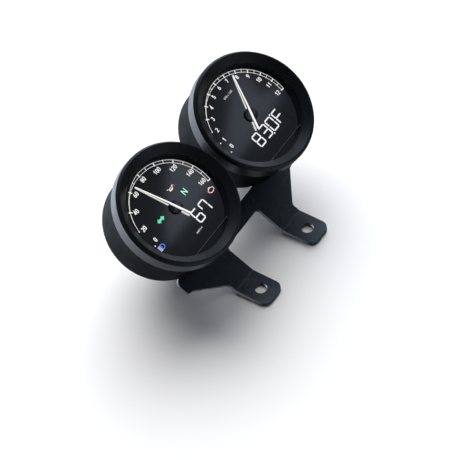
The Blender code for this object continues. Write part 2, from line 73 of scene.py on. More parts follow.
# Bezel and cup
CONE_DEPTH = 5.1  # the bezel's 45 degree cone
SHOULDER_IN, SHOULDER_DOWN = 1.5, 2.9
LIP_THICK = 0.3
BORE_INSET, CRIMP_INSET = 1.8, 3.3
CRIMP_THICK = 0.6
CUP_R, CUP_WALL, CUP_BACK = 39.3, 2.0, -44.0
CUP_FILLET, FILLET_STEPS = 10.0, 12
CUP_FLANGE_THICK = 1.4

# Studs, nuts and isolators
STUD_X, STUD_R = 17.0, 2.5
THREAD_PITCH, THREAD_DEPTH, THREAD_LENGTH = 0.8, 0.3, 11.0
NUT_CORNER_R, NUT_FLANGE_TOP_R, NUT_MOUTH_R = 4.6, 4.7, 3.3
NUT_FLANGE_THICK, NUT_FLANGE_RIM = 1.9, 0.8
NECK_GAP, GROOVE_GAP = 0.15, 0.1  # between a rubber part and the sheet that it sits in

# Cable, plug and buttons
CABLE_Y, CABLE_R, CABLE_BEND_R = 14.0, 2.9, 12.0
CABLE_BEND_Z, CABLE_END_Y = -54.0, -7.0
GROMMET_HOLE_R, GROMMET_TAIL_R, GROMMET_RIM_R = 5.0, 5.6, 6.1
PLUG_WALL, SOCKET_DEPTH = 1.2, 8.0
LATCH_RISE, LATCH_HALF_WIDTH, LATCH_ENDS = 1.6, 2.5, (6, 15)
RIB_HALF_HEIGHT, RIB_HALF_DEPTH, RIB_THICK = 3.2, 0.25, 0.6
PIN_HALF, PIN_SINK = 0.32, 2.0  # the pins end this far inside the socket's mouth
BUTTON_X, BUTTON_Y = 13.0, -14.0
BUTTON_R, BUTTON_HOLE_R, BUTTON_STEM_R = 3.0, 3.15, 2.0
BUTTON_STEM, BUTTON_FLANGE_THICK = 1.3, 1.0

# Face, needle and display
DISPLAY_GAP = 0.1
FACE_HOLE_R = 4.6
HUB_BORE_R, HUB_CAP = 1.15, 0.3
NEEDLE_TAIL_HALF, NEEDLE_TIP_HALF = 0.62, 0.26
NEEDLE_THICK, NEEDLE_BEND, NEEDLE_POINT = 0.6, 5.0, 0.8

# Bracket: its flat pattern is folded level along FOLD_Y
PLATE_FRONT, PLATE_BACK = -47.5, -50.5
PAD_HALF_LENGTH, PAD_HALF_HEIGHT, WEB_HALF_WIDTH = 24.0, 8.0, 7.0
BAR_TOP, BAR_BOTTOM, BAR_HALF_LENGTH = -33.5, -46.0, 64.0
LEG_INNER_X, LEG_OUTER_X = 19.0, 39.2
LEG_TAPER_TOP_X, LEG_TAPER_END_Y = 60.0, -63.0
FOLD_Y, FOLD_INNER_R, FOLD_STEPS = -68.0, 4.0, 10
FOOT_LENGTH, FOOT_HOLE_R, PLATE_HOLE_R = 24.0, 4.25, 5.0
BRACKET_BEVEL = 0.45

# Dial print, at a height of PRINT_BOTTOM to PRINT_TOP
SWEEP = 100.5  # degrees from the top of the dial to either end of its scale
PRINT_BOTTOM, PRINT_TOP = -0.02, 0.03
BAND_STEP = 1.5  # degrees
SCALE_R = 31.7  # between the scale's two lines
LINE_WIDTH = 0.3
LINE_GAP = 2.0  # between the two lines, from the top of the dial onwards
LINES_MEET_AT = -40  # degrees
FORK_AT = -31  # where the gap has grown to the width of a line
TICK_INNER_R, TICK_OUTER_R = 30.2, 32.8
TICK_WIDTH, HALF_TICK_WIDTH = 0.7, 0.35
HALF_TICK_REACH = 0.3
TICK_RISE = 0.01  # above the lines that a tick or dot crosses
DOT_R, DOT_STEPS = 0.45, 16
# Width of the painted highlight along each face's straight cut
CUT_EDGE_HIGHLIGHT_WIDTH = 0.15
LABEL_R, WIDE_LABEL_R = 27.7, 26.8
LABEL_HEIGHT, LABEL_WIDTH = 3.2, 1.75
LABEL_STROKE, LABEL_GAP = 0.55, 0.22
LABEL_LIMIT = 96.5  # degrees; the first and last labels stay inside it
CAP_HEIGHT = 0.73  # of a font size of 1
TEXT_WEIGHT = 0.015

# Liquid-crystal digits
DIGIT_WIDTH, DIGIT_HEIGHT = 6.4, 10.0
DIGIT_TOP = -9.8
DIGIT_RISE, DIGIT_ROOT = 0.06, 0.05
SEGMENT, SEGMENT_GAP = 0.95, 0.07
SEGMENTS = {"0": "abcdef", "3": "abcdg", "6": "acdefg", "7": "abcf", "8": "abcdefg", "F": "aefg"}

# Camera, in the cluster's dial frame, in metres
CAMERA_EYE = Vector((-0.7273, 0.0514, 1.3407))
CAMERA_AIM = Vector((-0.0318, -0.0371, 0.0))
CAMERA_UP = Vector((0.6961, 0.6433, 0.3186))
CAMERA_LENS = 181.04

# Light. A sky patch is its side, the cosine of the angle to that side at which it starts, and its strength
SKY_COLOUR = (0.78, 0.87, 1.0)
SKY_DARK, SKY_CURVE = 0.055, 2
BEHIND_CUPS = ((0, 0.74, -0.67), 0.60, 2.5)
RIDERS_RIGHT = ((0.82, 0.40, 0.43), 0.50, 1.6)
LOW_IN_FRONT = ((0, -0.86, -0.50), 0.30, 0.25)
CARD_COLOUR = (0.71, 0.82, 1.0)
CARD_DISTANCE = 1.1  # metres from the dial that mirrors it
SUN_COLOUR, SUN_ENERGY = (1.0, 0.985, 0.98), 4.7
SUN_SPREAD = math.radians(75)
SUN_FROM = Vector((0.45, 0.50, 0.74))
PAINTED_REFLECTION_REACH = 12.0  # a glossy surface nearer than this sees the needle brighter: a painted reflection


# Frames and packed sizes


def joint_frame(name):
    """The frame on a joint, with z along its axis and x to the rider's right."""
    joint = next(j for j in frame["joints"] if j["name"] == name)
    z = Vector(joint["axis"]).normalized()
    x = Vector((1, 0, 0))
    axes = Matrix((x, z.cross(x), z)).transposed().to_4x4()
    return Matrix.Translation(joint["pos_m"]) @ axes


DIAL = {gauge: joint_frame(f"{gauge}_needle_sweep") for gauge in GAUGES}
LEFT_AXIS, RIGHT_AXIS = (DIAL[gauge].translation for gauge in GAUGES)
CLUSTER = DIAL["speedo"].copy()
CLUSTER.translation = (LEFT_AXIS + RIGHT_AXIS) / 2
GAUGE_X = (RIGHT_AXIS.x - LEFT_AXIS.x) / 2 / MM

# The bracket's feet are folded up by the tilt of the dials
TILT = math.asin(-CLUSTER.col[2].y)
FOLD_CENTRE_Z = PLATE_FRONT + FOLD_INNER_R
FOLD_MID_R = FOLD_CENTRE_Z - (PLATE_FRONT + PLATE_BACK) / 2
FOOT_END_Y = FOLD_Y - FOLD_MID_R * TILT - FOOT_LENGTH


def cad_points(node, place):
    """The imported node's corners in the frame place, in millimetres."""
    back = place.inverted()
    return [(back @ vertex.co) / MM for vertex in frame["nodes"][node].data.vertices]


def packed_box(node, place):
    """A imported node's low and high corner in the frame place, in millimetres."""
    points = cad_points(node, place)
    return [Vector([pick(p[i] for p in points) for i in range(3)]) for pick in (min, max)]


class Turned:
    """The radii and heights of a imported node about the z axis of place, in millimetres."""

    def __init__(self, node, place):
        points = cad_points(node, place)
        self.inner = min(p.xy.length for p in points)
        self.outer = max(p.xy.length for p in points)
        self.bottom = min(p.z for p in points)
        self.top = max(p.z for p in points)


def beside(place, x, y, z=0.0):
    """The frame place moved by (x, y, z) millimetres along its own axes."""
    return place @ Matrix.Translation((x * MM, y * MM, z * MM))


# Outlines


def arc(x, y, radius, start, end, steps):
    """Points from start to end, in degrees anticlockwise from +x, with both ends."""
    angles = [math.radians(start + (end - start) * i / steps) for i in range(steps + 1)]
    return [(x + radius * math.cos(a), y + radius * math.sin(a)) for a in angles]


def circle(x, y, radius, steps=SMALL_ROUND_STEPS):
    return arc(x, y, radius, 0, 360, steps)[:-1]


def rounded(corners, steps=CORNER_STEPS):
    """An outline from (x, y, radius) corners. A radius of 0 leaves a corner sharp."""
    points = []
    for i, (x, y, radius) in enumerate(corners):
        corner = Vector((x, y))
        to_before = (Vector(corners[i - 1][:2]) - corner).normalized()
        to_after = (Vector(corners[(i + 1) % len(corners)][:2]) - corner).normalized()
        half = to_before.angle(to_after) / 2
        if radius == 0 or half > math.radians(89.9):
            points.append((x, y))
            continue
        centre = corner + (to_before + to_after).normalized() * radius / math.sin(half)
        start = (corner + to_before * radius / math.tan(half) - centre).normalized()
        end = (corner + to_after * radius / math.tan(half) - centre).normalized()
        points += [tuple(centre + start.slerp(end, step / steps) * radius) for step in range(steps + 1)]
    return points


def box_outline(left, right, bottom, top, radius=0.0):
    corners = ((left, bottom), (right, bottom), (right, top), (left, top))
    return rounded([(x, y, radius) for x, y in corners])


def on_dial(angle, radius):
    """The point at a clockwise angle in degrees from the dial's top."""
    a = math.radians(angle)
    return radius * math.sin(a), radius * math.cos(a)


# Meshes


def lathe(bm, profile, steps=SMALL_ROUND_STEPS, centre=(0, 0)):
    """Turns a closed (r, z) outline about the z axis through centre. r = 0 makes one vertex."""
    rings = []
    for radius, height in profile:
        around = circle(*centre, radius, steps) if radius > 0 else [centre]
        rings.append([bm.verts.new((x, y, height)) for x, y in around])
    for lower, upper in zip(rings, rings[1:] + rings[:1]):
        for i in range(steps):
            j = (i + 1) % steps
            ends = [ring[k % len(ring)] for ring, k in ((lower, i), (lower, j), (upper, j), (upper, i))]
            corners = list(dict.fromkeys(ends))
            if len(corners) > 2:
                bm.faces.new(corners)


def skin(bm, rows, closed=False):
    """Joins rows of corners into a bar, with end caps unless it's closed."""
    count = len(rows[0])
    for before, after in zip(rows, rows[1:] + rows[:1] if closed else rows[1:]):
        for k in range(count):
            m = (k + 1) % count
            bm.faces.new((before[k], before[m], after[m], after[k]))
    if not closed:
        bm.faces.new(rows[0])
        bm.faces.new(rows[-1])


def prism(bm, outline, bottom, top):
    """A flat outline as a solid from z = bottom to z = top."""
    skin(bm, [[bm.verts.new((x, y, z)) for x, y in outline] for z in (bottom, top)])


def print_row(bm, near, far):
    """The four corners across a printed strip, from its near edge to its far edge."""
    corners = ((*near, PRINT_BOTTOM), (*far, PRINT_BOTTOM), (*far, PRINT_TOP), (*near, PRINT_TOP))
    return [bm.verts.new(corner) for corner in corners]


def band(bm, start, end, radius, half_width):
    """A strip along the dial. Its radius and half its width are functions of the angle."""
    steps = max(2, round((end - start) / BAND_STEP))
    rows = []
    for i in range(steps + 1):
        a = start + (end - start) * i / steps
        rows.append(print_row(bm, *(on_dial(a, radius(a) + side * half_width(a)) for side in (-1, 1))))
    skin(bm, rows)


def stroke(bm, points, width, closed):
    """A mitred line through points on the dial. A closed one joins its ends."""
    spots = [Vector(point) for point in points]
    rows = []
    for i, spot in enumerate(spots):
        before = spots[i - 1] if i or closed else spot
        after = spots[(i + 1) % len(spots)] if i < len(spots) - 1 or closed else spot
        ways = [way.normalized() for way in (spot - before, after - spot) if way.length]
        along = sum(ways, Vector((0, 0))).normalized()
        side = Vector((-along.y, along.x)) * width / 2 / along.dot(ways[0])
        rows.append(print_row(bm, spot + side, spot - side))
    skin(bm, rows, closed)


def filled_plate(bm, outer, holes, bottom, top):
    """A flat outline with holes as a solid from z = bottom to z = top."""
    curve = bpy.data.curves.new("outline", "CURVE")
    curve.dimensions = "2D"
    curve.fill_mode = "BOTH"
    curve.extrude = (top - bottom) / 2
    for outline in [outer, *holes]:
        spline = curve.splines.new("POLY")
        spline.points.add(len(outline) - 1)
        for point, (x, y) in zip(spline.points, outline):
            point.co = (x, y, 0, 1)
        spline.use_cyclic_u = True
    add_curve(bm, curve, Matrix.Translation((0, 0, (top + bottom) / 2)))
    bmesh.ops.remove_doubles(bm, verts=bm.verts, dist=WELD)


def add_curve(bm, curve, place):
    """Adds a curve's or a text's surface to bm, moved by place."""
    helper = bpy.data.objects.new("helper", curve)
    mesh = helper.to_mesh().copy()
    bpy.data.objects.remove(helper)
    mesh.transform(place)
    bm.from_mesh(mesh)
    bpy.data.meshes.remove(mesh)


def block(bm, sides, radius, bottom, top):
    """A box with (left, right, bottom, top) sides and rounded uprights."""
    filled_plate(bm, box_outline(*sides, radius), [], bottom, top)


def cut_across(bm, y):
    """Adds edges all round bm at the height y, so that it can bend there."""
    everything = [*bm.verts, *bm.edges, *bm.faces]
    bmesh.ops.bisect_plane(bm, geom=everything, dist=WELD, plane_co=(0, y, 0), plane_no=(0, 1, 0))


def to_mesh(name, bm, place):
    """bm, drawn in millimetres in the frame place, as a mesh in metres in the row frame. bm is freed."""
    bmesh.ops.recalc_face_normals(bm, faces=bm.faces)
    bmesh.ops.scale(bm, vec=(MM, MM, MM), verts=bm.verts)
    mesh = bpy.data.meshes.new(name)
    bm.to_mesh(mesh)
    bm.free()
    mesh.transform(place)
    mesh.shade_smooth()
    mesh.set_sharp_from_angle(angle=SHARP_ANGLE)
    return mesh


def link(name, data):
    """A new object of the scene that shows data."""
    made = bpy.data.objects.new(name, data)
    bpy.context.scene.collection.objects.link(made)
    return made


def solid(name, bm, look, place=Matrix()):
    """bm, drawn in millimetres in the frame place, as an object of one material."""
    mesh = to_mesh(name, bm, place)
    mesh.materials.append(look)
    return link(name, mesh)


def piece(name, bm, place, look, node):
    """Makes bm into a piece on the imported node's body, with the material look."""
    made = solid(name, bm, look, place)
    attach(made, frame["nodes"][node]["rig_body"])
    return made


def on_gauge(gauge, name, bm, look, node="face"):
    """A piece in a dial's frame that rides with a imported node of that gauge."""
    return piece(f"{gauge}_{name}", bm, DIAL[gauge], look, f"{gauge}_{node}")


def stand_in(node, bm, place, look):
    """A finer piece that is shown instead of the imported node."""
    made = piece(f"{node}_shape", bm, place, look, node)
    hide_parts(node)
    return made


def bevel(made, width, segments=2, limit=40):
    """Rounds a piece's sharp edges. Width in millimetres, limit in degrees."""
    step = made.modifiers.new("edges", "BEVEL")
    step.width = width * MM
    step.segments = segments
    step.angle_limit = math.radians(limit)
    step.harden_normals = True


def keep_flat(made):
    """Shades wide faces flat, so that only the rounded edges between them bend the light."""
    step = made.modifiers.new("flat", "WEIGHTED_NORMAL")
    step.keep_sharp = True


def combine(made, bm, place, operation):
    """Combines a piece with bm, which is in millimetres in the frame place."""
    helper = link("helper", to_mesh("helper", bm, place))
    step = made.modifiers.new("combine", "BOOLEAN")
    step.operation = operation
    step.object = helper
    graph = bpy.context.evaluated_depsgraph_get()
    made.data = bpy.data.meshes.new_from_object(made.evaluated_get(graph))
    made.modifiers.remove(step)
    bpy.data.objects.remove(helper)
    made.data.shade_smooth()
    made.data.set_sharp_from_angle(angle=SHARP_ANGLE)


# Materials


def fill(tree, node, inputs):
    """Gives a node's inputs their values: numbers, tuples or other nodes' results."""
    for key, value in inputs.items():
        if isinstance(value, bpy.types.NodeSocket):
            tree.links.new(value, node.inputs[key])
        else:
            node.inputs[key].default_value = value
    return node


def math_node(tree, operation, *values):
    """The result of a Math node in a node tree."""
    node = fill(tree, tree.nodes.new("ShaderNodeMath"), dict(enumerate(values)))
    node.operation = operation
    return node.outputs["Value"]


class Look:
    """A Principled material with helpers for the nodes that vary it over the surface."""

    def __init__(self, name, colour, roughness, metallic=0.0, specular=0.5):
        self.material = bpy.data.materials.new(name)
        self.material.use_nodes = True
        self.tree = self.material.node_tree
        self.shader = self.tree.nodes["Principled BSDF"]
        self.colour = colour
        self.roughness = roughness
        self.set("Base Color", (*colour, 1)).set("Roughness", roughness)
        self.set("Metallic", metallic).set("Specular IOR Level", specular)
        self.coords = self.node("ShaderNodeTexCoord", {}).outputs["Object"]

    def node(self, kind, inputs):
        return fill(self.tree, self.tree.nodes.new(kind), inputs)

    def set(self, socket, value):
        fill(self.tree, self.shader, {socket: value})
        return self

    def noise(self, grain_mm, detail=3.0, stretch=(1, 1, 1)):
        """A noise pattern whose features are about grain_mm across."""
        spot = self.node("ShaderNodeMapping", {"Vector": self.coords, "Scale": stretch}).outputs["Vector"]
        settings = {"Vector": spot, "Scale": 1 / (grain_mm * MM), "Detail": detail}
        return self.node("ShaderNodeTexNoise", settings).outputs["Fac"]

    def spread(self, pattern, low, high):
        """The pattern, from 0.3 to 0.7, mapped on to low to high."""
        ends = {"Value": pattern, "From Min": 0.3, "From Max": 0.7, "To Min": low, "To Max": high}
        return self.node("ShaderNodeMapRange", ends).outputs["Result"]

    def vary_roughness(self, amount, *noise):
        """Varies the roughness by an amount, with a noise of (grain_mm, detail)."""
        low, high = self.roughness - amount, self.roughness + amount
        return self.set("Roughness", self.spread(self.noise(*noise), low, high))

    def vary_colour(self, factor, *noise):
        """Varies the colour up to factor times itself, with a noise of (grain_mm, detail)."""
        mix = self.node("ShaderNodeMix", {})
        mix.data_type = "RGBA"
        other = [c * factor for c in self.colour]
        share = self.spread(self.noise(*noise), 0.0, 1.0)
        fill(self.tree, mix, {"A": (*self.colour, 1), "B": (*other, 1), "Factor": share})
        return self.set("Base Color", mix.outputs["Result"])

    def bump(self, pattern, depth_mm):
        node = self.node("ShaderNodeBump", {"Height": pattern, "Distance": depth_mm * MM})
        return self.set("Normal", node.outputs["Normal"])

    def glow(self, colour, strength, painted_reflection_boost=0):
        """Lights the surface. Glossy rays from close by see it brighter by the extra strength given: a
        painted reflection, as bright as clipped whites would be.
        """
        seen = self.spread(self.noise(1.6), strength * 0.94, strength * 1.06)
        if painted_reflection_boost:
            path = self.node("ShaderNodeLightPath", {}).outputs
            near = math_node(self.tree, "LESS_THAN", path["Ray Length"], PAINTED_REFLECTION_REACH * MM)
            in_painted_reflection = math_node(self.tree, "MULTIPLY", near, path["Is Glossy Ray"])
            seen = math_node(self.tree, "MULTIPLY_ADD", in_painted_reflection, painted_reflection_boost, seen)
        return self.set("Emission Color", (*colour, 1)).set("Emission Strength", seen)


def anodised(name, colour, roughness, specular):
    """Satin black anodising: fine blasted grain with faint cloudiness."""
    look = Look(name, colour, roughness, specular=specular)
    look.vary_roughness(0.04, 7, 4).vary_colour(1.25, 0.25, 2)
    return look.bump(look.noise(0.12, 2), 0.004).material


def coated(name, colour, roughness):
    """Gloss powder coat with its slight orange peel."""
    look = Look(name, colour, roughness)
    look.vary_roughness(0.05, 12, 3).vary_colour(1.4, 20, 3)
    return look.bump(look.noise(1.4, 1), 0.012).material


def moulded(name, colour, roughness, grain_mm=0.5):
    """Moulded plastic or rubber with a fine spark-eroded grain."""
    look = Look(name, colour, roughness)
    look.vary_roughness(0.06, 5, 3).vary_colour(1.3, 9, 4)
    return look.bump(look.noise(grain_mm, 3), 0.015).material


def polished_face(name, colour, roughness, coat=1.0):
    """Black printing under a gloss varnish."""
    look = Look(name, colour, roughness, specular=0.1)
    look.set("Coat Weight", coat).set("Coat Roughness", 0.06).set("Coat IOR", 2.4)
    return look.vary_roughness(0.03, 14, 3).vary_colour(1.2, 0.6, 2).material


# An extra last strength paints a reflection: glossy rays from close by see the part brighter by it.
def glowing(name, colour, strength, painted_reflection_boost=0):
    look = Look(name, [c * 0.3 for c in colour], 0.45, specular=0.2)
    return look.glow(colour, strength, painted_reflection_boost).material


def plated(name, colour, roughness):
    """Zinc plate: bright metal with fine brushing."""
    look = Look(name, colour, roughness, metallic=1.0)
    look.vary_roughness(0.08, 1.2, 3).vary_colour(0.85, 3, 4)
    return look.bump(look.noise(0.2, 2, stretch=(1, 1, 0.1)), 0.006).material


def circuit_board_look():
    """Green solder mask over copper tracks that run both ways."""
    look = Look("solder_mask", (0.015, 0.1, 0.04), 0.35)
    tracks = look.node("ShaderNodeTexBrick", {
        "Vector": look.coords, "Scale": 1 / (6 * MM), "Mortar Size": 0.04, "Mortar": (0.05, 0.22, 0.1, 1),
        "Color1": (0.012, 0.085, 0.035, 1), "Color2": (0.016, 0.105, 0.045, 1)}).outputs
    look.set("Base Color", tracks["Color"]).vary_roughness(0.06, 4)
    return look.bump(tracks["Fac"], 0.03).material


def clear_glass_look():
    """A thin pane that bends no light and mirrors a little, more at a slant, with faint smears."""
    look = Look("clear_glass", (1, 1, 1), 0.03)
    through = look.node("ShaderNodeBsdfTransparent", {"Color": (0.985, 0.99, 0.99, 1)})
    smears = look.spread(look.noise(18, 4), 0.02, 0.07)
    mirror = look.node("ShaderNodeBsdfGlossy", {"Roughness": smears})
    slant = look.node("ShaderNodeFresnel", {"IOR": 1.38}).outputs["Fac"]
    inside = look.node("ShaderNodeNewGeometry", {}).outputs["Backfacing"]
    share = math_node(look.tree, "MULTIPLY", slant, math_node(look.tree, "SUBTRACT", 1, inside))
    ends = {"Fac": share, 1: through.outputs["BSDF"], 2: mirror.outputs["BSDF"]}
    mix = look.node("ShaderNodeMixShader", ends)
    fill(look.tree, look.tree.nodes["Material Output"], {"Surface": mix.outputs["Shader"]})
    look.tree.nodes.remove(look.shader)
    return look.material


def floor_look():
    look = Look("pale_floor", (0.86, 0.86, 0.86), 0.7, specular=0.2)
    return look.vary_colour(0.88 / 0.86, 400, 2).material


BEZEL_BLACK = anodised("bezel_black", (0.0042, 0.005, 0.0066), 0.3, specular=0.55)
CUP_BLACK = anodised("cup_black", (0.0035, 0.0042, 0.0056), 0.58, specular=0.06)
WALL_BLACK = polished_face("wall_black", (0.004, 0.0046, 0.0058), 0.2)
FACE_BLACK = polished_face("face_black", (0.004, 0.0048, 0.0064), 0.3)
LCD_BLACK = polished_face("lcd_black", (0.0055, 0.0064, 0.0082), 0.35)
CARRIER_BLACK = polished_face("carrier_black", (0.004, 0.0044, 0.0054), 0.35)
HUB_BLACK = polished_face("hub_black", (0.004, 0.0048, 0.0064), 0.3, 0.75)
PLASTIC_BLACK = moulded("plastic_black", (0.02, 0.02, 0.022), 0.45)
RUBBER_BLACK = moulded("rubber_black", (0.014, 0.014, 0.015), 0.72, 0.8)
CABLE_BLACK = moulded("cable_black", (0.016, 0.016, 0.017), 0.5, 1.5)
SHEET_BLACK = coated("sheet_black", (0.026, 0.033, 0.042), 0.26)
ACETAL = moulded("acetal_white", (0.72, 0.71, 0.66), 0.4)
ZINC = plated("zinc_plate", (0.6, 0.61, 0.63), 0.34)
SOLDER_MASK = circuit_board_look()
CLEAR_GLASS = clear_glass_look()
# The lit needle. Its extra 3.2 is a painted reflection: its mirror image in the face is brighter than the
# face would mirror it.
NEEDLE_WHITE = glowing("needle_white", (1.0, 1.0, 0.98), 0.85, 3.2)
PRINT_WHITE = glowing("print_white", (1.0, 0.98, 0.96), 0.75)
PRINT_GREY = glowing("print_grey", (0.85, 0.85, 0.85), 0.4)
# Painted highlight: grey for the light on the cut edge of each face
PAINTED_EDGE_HIGHLIGHT = moulded("painted_edge_highlight", (0.13, 0.14, 0.16), 0.5)
DIGIT_WHITE = glowing("digit_white", (0.97, 0.99, 1.0), 0.75)
LAMPS = {name: glowing(name, colour, strength) for name, colour, strength in (
    ("turn_lamp", (0.13, 0.68, 0.4), 0.95),
    ("neutral_lamp", (0.38, 0.9, 0.64), 1.0),
    ("beam_lamp", (0.12, 0.22, 0.95), 0.9),
    ("beam_rays", (0.75, 0.8, 1.0), 0.8),
    ("oil_lamp", (0.98, 0.9, 0.88), 0.95),
    ("oil_drops", (0.95, 0.1, 0.08), 1.1),
    ("engine_lamp", (1.0, 0.7, 0.6), 0.9))}

INNER_LOOKS = {"face_carrier": CARRIER_BLACK, "needle_gear": ACETAL, "motor_case": PLASTIC_BLACK,
               "motor_rotor": ACETAL, "circuit_board": SOLDER_MASK, "board_screw": ZINC,
               "inner_housing": PLASTIC_BLACK}


# The pieces of one gauge


def turned(node, place, corners, look, corner_steps=CORNER_STEPS, round_steps=SMALL_ROUND_STEPS):
    """A turned stand-in from its closed outline of (r, z, rounding) corners."""
    bm = bmesh.new()
    lathe(bm, rounded(corners, corner_steps), round_steps)
    return stand_in(node, bm, place, look)


def bezel(gauge):
    node = f"{gauge}_bezel"
    ring = Turned(node, DIAL[gauge])
    lip_top = ring.top - CONE_DEPTH
    lip_bottom = lip_top - LIP_THICK
    ledge = ring.bottom + CRIMP_THICK
    bore, crimp = ring.outer - BORE_INSET, ring.outer - CRIMP_INSET
    keep_flat(turned(node, DIAL[gauge], [
        (ring.inner, lip_bottom, 0), (ring.inner, lip_top, 0.08), (ring.inner + CONE_DEPTH, ring.top, 0.3),
        (ring.outer - SHOULDER_IN, ring.top, 0.4), (ring.outer, ring.top - SHOULDER_DOWN, 0.3),
        (ring.outer, ring.bottom, 0.3), (crimp, ring.bottom, 0.15), (crimp, ledge, 0.1), (bore, ledge, 0),
        (bore, lip_bottom, 0)], BEZEL_BLACK, round_steps=ROUND_STEPS))


def turned_ring(gauge, name, look, edge):
    """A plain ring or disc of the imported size, with its edges rounded."""
    node = f"{gauge}_{name}"
    ring = Turned(node, DIAL[gauge])
    inner, inner_edge = (0, 0) if ring.inner < 1 else (ring.inner, edge)
    keep_flat(turned(node, DIAL[gauge], [
        (inner, ring.bottom, inner_edge), (ring.outer, ring.bottom, edge),
        (ring.outer, ring.top, edge), (inner, ring.top, inner_edge)], look, 3, ROUND_STEPS))


def face(gauge):
    """The printed face: a disc with a straight cut, a hub hole and the display's window."""
    node = f"{gauge}_face"
    disc = Turned(node, DIAL[gauge])
    low, high = packed_box(f"{gauge}_display", DIAL[gauge])
    chord = math.degrees(math.asin(face_cut(gauge) / disc.outer))
    outline = arc(0, 0, disc.outer, chord, 180 - chord, ROUND_STEPS)
    gap = DISPLAY_GAP
    window = box_outline(low.x - gap, high.x + gap, low.y - gap, high.y + gap, 0.4)
    bm = bmesh.new()
    filled_plate(bm, outline, [circle(0, 0, FACE_HOLE_R), window], disc.bottom, 0)
    stand_in(node, bm, DIAL[gauge], FACE_BLACK)


def face_cut(gauge):
    """How far up the dial a face's straight cut is."""
    return packed_box(f"{gauge}_face", DIAL[gauge])[0].y


def display(gauge):
    node = f"{gauge}_display"
    low, high = packed_box(node, DIAL[gauge])
    bm = bmesh.new()
    block(bm, (low.x, high.x, low.y, high.y), 0.35, low.z, high.z)
    bevel(stand_in(node, bm, DIAL[gauge], LCD_BLACK), 0.08)


def scale_gap(angle):
    """How far apart the scale's two lines are: they open from nothing to LINE_GAP."""
    opened = min(1.0, max(0.0, (angle - LINES_MEET_AT) / -LINES_MEET_AT))
    return LINE_GAP * opened ** 1.3


def scale_lines(bm, start):
    """Two lines from the fork on, and one that swells up to it from a thin start."""
    def swell(angle):
        return LINE_WIDTH * (0.45 + 0.55 * (angle - start) / (FORK_AT - start))
    for side in (-1, 1):
        band(bm, FORK_AT, SWEEP, lambda a: SCALE_R + side * scale_gap(a) / 2, lambda a: LINE_WIDTH / 2)
    band(bm, start, FORK_AT, lambda a: SCALE_R, swell)


def tick(bm, angle, inner, outer, width):
    """A straight mark across the scale, of a width in millimetres."""
    along, aside = Vector(on_dial(angle, 1)), Vector(on_dial(angle + 90, width / 2))
    outline = (along * inner - aside, along * inner + aside, along * outer + aside, along * outer - aside)
    prism(bm, outline, PRINT_BOTTOM, PRINT_TOP + TICK_RISE)


def scale(gauge, labels, line_from):
    """The scale's lines, which start at label line_from, and a tick or dot for each label."""
    step = 2 * SWEEP / (len(labels) - 1)
    bm = bmesh.new()
    scale_lines(bm, -SWEEP + step * line_from)
    for i in range(len(labels)):
        angle = -SWEEP + step * i
        if i <= line_from:
            dot = circle(*on_dial(angle, SCALE_R), DOT_R, DOT_STEPS)
            prism(bm, dot, PRINT_BOTTOM, PRINT_TOP + TICK_RISE)
        else:
            tick(bm, angle, TICK_INNER_R, TICK_OUTER_R, TICK_WIDTH)
        half = angle + step / 2
        if i >= line_from and half < SWEEP:
            reach = scale_gap(half) / 2 + HALF_TICK_REACH
            tick(bm, half, SCALE_R - reach, SCALE_R + reach, HALF_TICK_WIDTH)
    on_gauge(gauge, "scale", bm, PRINT_WHITE)


def numeral_lines():
    """The numerals' middle lines, one unit wide and two high, as (points, closed) lists."""
    bowl = circle(0.5, 0.52, 0.52, 16)
    six = [(bowl, True), ([(0, 0.52), (0.04, 1), (0.24, 1.5), (0.68, 2)], False)]
    nine = [([(1 - x, 2 - y) for x, y in line], closed) for line, closed in six]
    return {
        "0": [(arc(0.5, 1.5, 0.5, 0, 180, 8) + arc(0.5, 0.5, 0.5, 180, 360, 8), True)],
        "1": [([(0.15, 1.55), (0.65, 2), (0.65, 0)], False)],
        "2": [(arc(0.5, 1.48, 0.5, 165, -25, 9) + [(0, 0), (1, 0)], False)],
        "3": [(arc(0.5, 1.52, 0.47, 150, -70, 9) + arc(0.5, 0.52, 0.52, 70, -150, 9), False)],
        "4": [([(0.75, 0), (0.75, 2), (0, 0.6), (1.1, 0.6)], False)],
        "5": [([(0.95, 2), (0.15, 2), (0.08, 1.1)] + arc(0.48, 0.6, 0.6, 115, -140, 9), False)],
        "6": six,
        "7": [([(0, 2), (1, 2), (0.35, 0)], False)],
        "8": [(bowl, True), (circle(0.5, 1.54, 0.46, 16), True)],
        "9": nine}


def add_number(bm, number, x, y):
    """A printed number, centred on (x, y)."""
    lines = numeral_lines()
    width = LABEL_WIDTH - LABEL_STROKE
    half_height = (LABEL_HEIGHT - LABEL_STROKE) / 2
    pitch = LABEL_WIDTH + LABEL_GAP
    left = x - (pitch * (len(number) - 1) + width) / 2
    for i, character in enumerate(number):
        for points, closed in lines[character]:
            moved = [(left + pitch * i + width * px, y + half_height * (py - 1)) for px, py in points]
            stroke(bm, moved, LABEL_STROKE, closed)


def print_labels(gauge, labels, last_limit):
    """The dial's numbers, spread over the sweep between -LABEL_LIMIT and last_limit degrees."""
    step = 2 * SWEEP / (len(labels) - 1)
    bm = bmesh.new()
    for i, label in enumerate(labels):
        angle = min(max(-SWEEP + step * i, -LABEL_LIMIT), last_limit)
        radius = WIDE_LABEL_R if len(label) == len(labels[-1]) else LABEL_R
        add_number(bm, label, *on_dial(angle, radius))
    on_gauge(gauge, "labels", bm, PRINT_WHITE)


